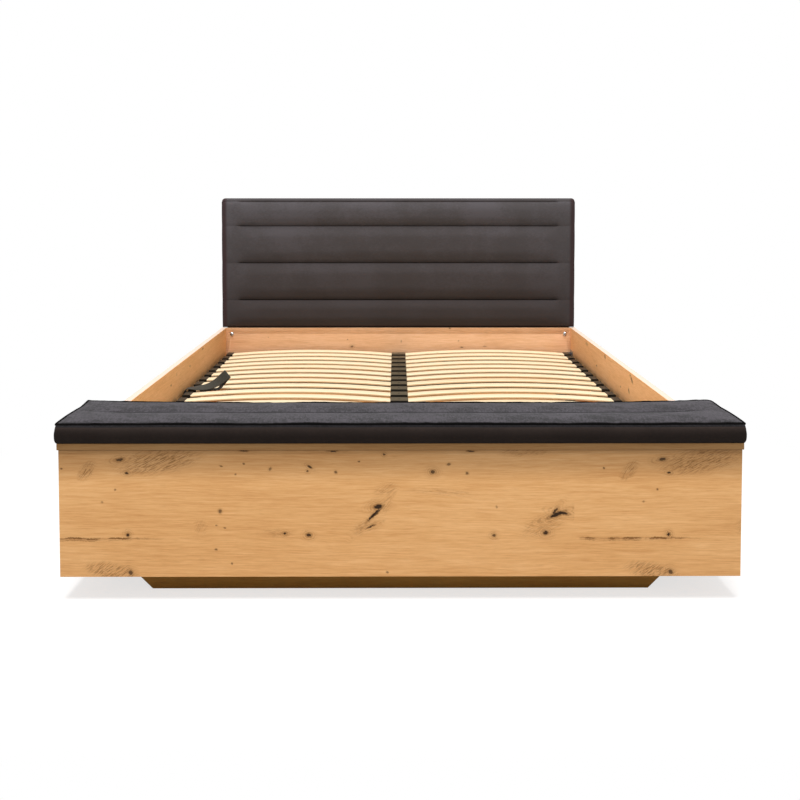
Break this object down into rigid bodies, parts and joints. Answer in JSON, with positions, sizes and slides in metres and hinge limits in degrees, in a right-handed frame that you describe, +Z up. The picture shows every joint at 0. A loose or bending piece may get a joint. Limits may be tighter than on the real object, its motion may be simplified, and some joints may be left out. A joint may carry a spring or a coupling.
{
  "type": "bed with blanket chest footboard",
  "caption": "Low double bed with a padded blanket chest as footboard, a channelled headboard and a slatted base that lifts over a bedding box.",
  "frame": {"origin": "on the floor, at the middle of the bed's whole length and width", "axes": "+Z up, +Y from the chest to the headboard, +X to the right seen from the foot end"},
  "size_m": [1.6798, 2.3939, 0.9808],
  "materials": {
    "oak": "satin oak decor with knots and fine cracks",
    "beech": "smooth clear laminated beech",
    "headboard_fabric": "smooth matte microfibre",
    "cushion_fabric": "short fuzzy pile with black piping",
    "back_fabric": "thin black lining cloth",
    "webbing": "woven olive grey webbing",
    "painted_steel": "black powder coat",
    "zinc_steel": "bright zinc plate",
    "cap_plastic": "moulded dark plastic"
  },
  "bodies": {
    "bed": {"chest_front": "oak", "chest_side_left": "oak", "chest_side_right": "oak", "chest_back": "oak", "chest_bottom": "oak", "side_rail_left": "oak", "side_rail_right": "oak", "head_panel": "oak", "headboard_back": "back_fabric", "headboard_pad": "headboard_fabric", "headboard_posts": "oak", "headboard_bolts": "zinc_steel", "headboard_nuts": "zinc_steel", "plinth_front": "oak", "plinth_rear": "oak", "plinth_left": "oak", "plinth_right": "oak", "plinth_centre": "oak", "box_floor_left": "oak", "box_floor_right": "oak", "ledge_left": "beech", "ledge_head": "beech", "ledge_foot": "beech", "corner_brackets": "zinc_steel", "corner_screws": "zinc_steel", "base_pivot_brackets": "zinc_steel", "base_strut_anchors": "painted_steel", "lid_hinge_fixed_leaves": "zinc_steel", "lid_hinge_pins": "zinc_steel", "lid_strut_anchors": "painted_steel"},
    "chest_lid": {"lid_board": "oak", "lid_cushion": "cushion_fabric", "lid_hinge_moving_leaves": "zinc_steel", "lid_strut_lugs": "painted_steel"},
    "slatted_base": {"base_tube_left": "painted_steel", "base_tube_right": "painted_steel", "base_tube_centre": "painted_steel", "base_tube_foot": "painted_steel", "base_tube_head": "painted_steel", "base_cross_bars": "painted_steel", "tube_plugs": "cap_plastic", "base_pivot_arms": "zinc_steel", "base_strut_lugs": "painted_steel", "slats_left": "beech", "slats_right": "beech", "side_caps_left": "cap_plastic", "side_caps_right": "cap_plastic", "centre_caps": "cap_plastic", "cap_screws": "zinc_steel", "pull_strap": "webbing"},
    "base_cylinder_foot": {"base_cylinder_foot": "painted_steel"},
    "base_cylinder_head": {"base_cylinder_head": "painted_steel"},
    "lid_cylinder_left": {"lid_cylinder_left": "painted_steel"},
    "lid_cylinder_right": {"lid_cylinder_right": "painted_steel"},
    "base_rod_foot": {"base_rod_foot": "zinc_steel"},
    "base_rod_head": {"base_rod_head": "zinc_steel"},
    "lid_rod_left": {"lid_rod_left": "zinc_steel"},
    "lid_rod_right": {"lid_rod_right": "zinc_steel"}
  },
  "joints": [
    {"name": "lid_hinge", "type": "hinge", "parent": "bed", "child": "chest_lid", "pos_m": [0, -0.9035, 0.373], "axis": [-1, 0, 0], "range_deg": [0, 65]},
    {"name": "base_lift", "type": "hinge", "parent": "bed", "child": "slatted_base", "pos_m": [0.79, 0.101, 0.25], "axis": [0, 1, 0], "range_deg": [0, 50]},
    {"name": "base_cylinder_foot_turn", "type": "hinge", "parent": "bed", "child": "base_cylinder_foot", "pos_m": [0.79, -0.197, 0.092], "axis": [0, 1, 0], "range_deg": [0, 25]},
    {"name": "base_rod_foot_turn", "type": "hinge", "parent": "slatted_base", "child": "base_rod_foot", "pos_m": [0.64012, -0.197, 0.2], "axis": [0, 1, 0], "range_deg": [-25, 0]},
    {"name": "base_cylinder_head_turn", "type": "hinge", "parent": "bed", "child": "base_cylinder_head", "pos_m": [0.79, 0.463, 0.092], "axis": [0, 1, 0], "range_deg": [0, 25]},
    {"name": "base_rod_head_turn", "type": "hinge", "parent": "slatted_base", "child": "base_rod_head", "pos_m": [0.64012, 0.463, 0.2], "axis": [0, 1, 0], "range_deg": [-25, 0]},
    {"name": "lid_cylinder_left_turn", "type": "hinge", "parent": "bed", "child": "lid_cylinder_left", "pos_m": [-0.794, -0.96426, 0.18245], "axis": [-1, 0, 0], "range_deg": [0, 32.5]},
    {"name": "lid_rod_left_turn", "type": "hinge", "parent": "chest_lid", "child": "lid_rod_left", "pos_m": [-0.794, -1.10229, 0.351], "axis": [-1, 0, 0], "range_deg": [-32.5, 0]},
    {"name": "lid_cylinder_right_turn", "type": "hinge", "parent": "bed", "child": "lid_cylinder_right", "pos_m": [0.794, -0.96426, 0.18245], "axis": [-1, 0, 0], "range_deg": [0, 32.5]},
    {"name": "lid_rod_right_turn", "type": "hinge", "parent": "chest_lid", "child": "lid_rod_right", "pos_m": [0.794, -1.10229, 0.351], "axis": [-1, 0, 0], "range_deg": [-32.5, 0]}
  ],
  "couplings": [
    {"joint": "base_cylinder_foot_turn", "follows": "base_lift", "ratio": 0.5},
    {"joint": "base_rod_foot_turn", "follows": "base_lift", "ratio": -0.5},
    {"joint": "base_cylinder_head_turn", "follows": "base_lift", "ratio": 0.5},
    {"joint": "base_rod_head_turn", "follows": "base_lift", "ratio": -0.5},
    {"joint": "lid_cylinder_left_turn", "follows": "lid_hinge", "ratio": 0.5},
    {"joint": "lid_rod_left_turn", "follows": "lid_hinge", "ratio": -0.5},
    {"joint": "lid_cylinder_right_turn", "follows": "lid_hinge", "ratio": 0.5},
    {"joint": "lid_rod_right_turn", "follows": "lid_hinge", "ratio": -0.5}
  ]
}
